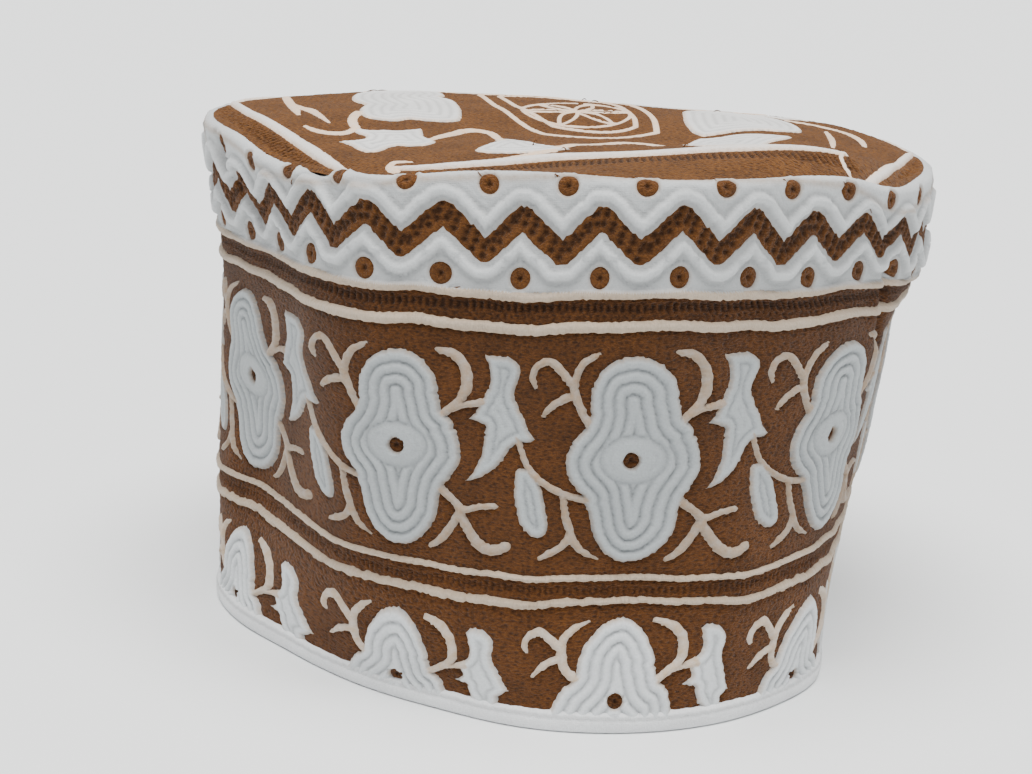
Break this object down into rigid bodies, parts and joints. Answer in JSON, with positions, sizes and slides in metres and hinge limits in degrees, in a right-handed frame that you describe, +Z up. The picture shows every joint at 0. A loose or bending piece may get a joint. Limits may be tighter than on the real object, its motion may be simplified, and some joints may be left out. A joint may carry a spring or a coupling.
{
  "type": "kummah",
  "caption": "Soft round embroidered cap with a straight quilted side band, a domed crown and a bound rim; open below for a head.",
  "frame": {"origin": "middle of the cap in plan, on the surface that its rim rests on", "axes": "+Z up; the front flower panel faces -Y, and +X is to its right as it is looked at"},
  "size_m": [0.1754, 0.2066, 0.1213],
  "materials": {
    "brown_embroidery": "dense brown eyelet embroidery on cotton",
    "white_cotton": "matt white quilted cotton"
  },
  "bodies": {
    "root": {"side_band": "brown_embroidery", "crown": "brown_embroidery", "rim_binding": "white_cotton"}
  },
  "joints": []
}
